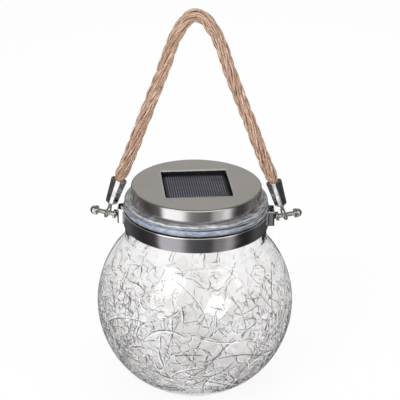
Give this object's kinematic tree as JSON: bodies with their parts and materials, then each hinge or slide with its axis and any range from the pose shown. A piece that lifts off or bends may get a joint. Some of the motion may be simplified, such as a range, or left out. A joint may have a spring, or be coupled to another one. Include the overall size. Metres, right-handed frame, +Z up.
{
  "type": "jar lantern",
  "caption": "Round crackle-glass jar with a steel neck band, a rope handle that swings on two bolts, and a screw lid that holds a solar panel, battery and lamp.",
  "frame": {"origin": "centre of the jar's flat base, on the surface it stands on", "axes": "+Z up along the jar's axis, X along the two handle bolts, the picture's camera looks along +Y from above"},
  "size_m": [0.1268, 0.12, 0.2338],
  "materials": {
    "crackle_glass": "clear blown glass with a fine network of cracks",
    "clear_plastic": "clear bluish moulded plastic",
    "band_steel": "brushed stainless steel, grain along the band",
    "hardware": "bright steel",
    "clamp_steel": "polished sheet steel",
    "jute": "laid jute rope",
    "gasket": "soft grey rubber",
    "lid_steel": "brushed stainless steel",
    "black_plastic": "black moulded plastic",
    "solar": "dark silicon under clear resin, thin silver contact lines",
    "board": "green circuit board",
    "chip": "black chip housing",
    "coil": "green lacquered coil",
    "battery_sleeve": "green shrink sleeve",
    "led_epoxy": "clear epoxy",
    "frosted_lens": "frosted plastic",
    "white_plastic": "white plastic",
    "red_wire": "red insulation",
    "black_wire": "black insulation"
  },
  "bodies": {
    "jar": {"glass_globe": "crackle_glass", "neck_collar": "clear_plastic", "neck_band": "band_steel", "bolt_left": "hardware", "bolt_right": "hardware", "hex_nut_left": "hardware", "hex_nut_right": "hardware", "acorn_nut_left": "hardware", "acorn_nut_right": "hardware"},
    "handle": {"rope_clamp_left": "clamp_steel", "rope_clamp_right": "clamp_steel", "handle_rope": "jute"},
    "lid_seal": {"lid_gasket": "gasket"},
    "lid": {"lid_cap": "lid_steel", "lid_insert": "black_plastic", "solar_cell": "solar", "housing_cover": "black_plastic", "cover_screw_1": "hardware", "cover_screw_2": "hardware", "cover_screw_3": "hardware", "circuit_board": "board", "driver_chip": "chip", "boost_coil": "coil", "battery": "battery_sleeve", "contact_plate": "hardware", "contact_spring": "hardware", "led": "led_epoxy", "led_lens": "frosted_lens", "switch_body": "black_plastic", "wire_red": "red_wire", "wire_black": "black_wire"},
    "switch_slider": {"switch_knob": "white_plastic"}
  },
  "joints": [
    {"name": "handle_swing", "type": "hinge", "parent": "jar", "child": "handle", "pos_m": [0, 0, 0.10766], "axis": [1, 0, 0], "range_deg": [-116, 116]},
    {"name": "lid_rise", "type": "slide", "parent": "jar", "child": "lid_seal", "axis": [0, 0, 1], "range_m": [0, 0.0038]},
    {"name": "lid_unscrew", "type": "hinge", "parent": "lid_seal", "child": "lid", "pos_m": [0, 0, 0.11863], "axis": [0, 0, 1], "range_deg": [0, 450]},
    {"name": "switch_slide", "type": "slide", "parent": "lid", "child": "switch_slider", "axis": [0.994, 0.1097, 0], "range_m": [0, 0.002]}
  ],
  "couplings": [
    {"joint": "lid_rise", "follows": "lid_unscrew", "m_per_rad": 0.00047746}
  ]
}
